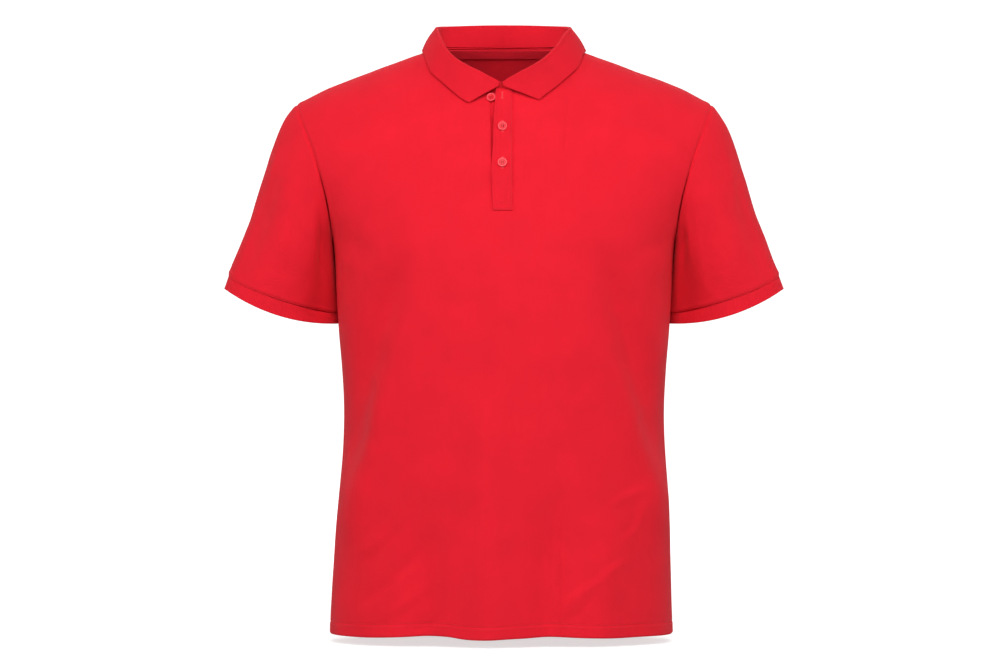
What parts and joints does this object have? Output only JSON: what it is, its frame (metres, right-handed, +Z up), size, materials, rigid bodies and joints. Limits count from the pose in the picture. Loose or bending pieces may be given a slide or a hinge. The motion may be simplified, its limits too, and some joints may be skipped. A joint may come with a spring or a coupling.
{
  "type": "polo shirt",
  "caption": "Short-sleeved polo shirt with a rib-knit collar, buttoned placket and rib cuffs, filled out as worn over an empty hollow form.",
  "frame": {"origin": "midway between the two points where the shoulder seams meet the collar, inside the neck opening, where a wearer's neck and shoulders hold the shirt", "axes": "+Z up along the body, -Y out of the front with the placket, +X towards the wearer's left sleeve"},
  "size_m": [0.6974, 0.2542, 0.7658],
  "materials": {
    "pique": "matte",
    "rib": "matte",
    "tape": "matte",
    "button": "satin"
  },
  "bodies": {
    "root": {"front": "pique", "back": "pique", "sleeve_left": "pique", "sleeve_right": "pique", "cuff_left": "rib", "cuff_right": "rib", "collar": "rib", "placket_upper": "pique", "placket_under": "pique", "neck_tape": "tape", "button_top": "button", "button_middle": "button", "button_low": "button"}
  },
  "joints": []
}
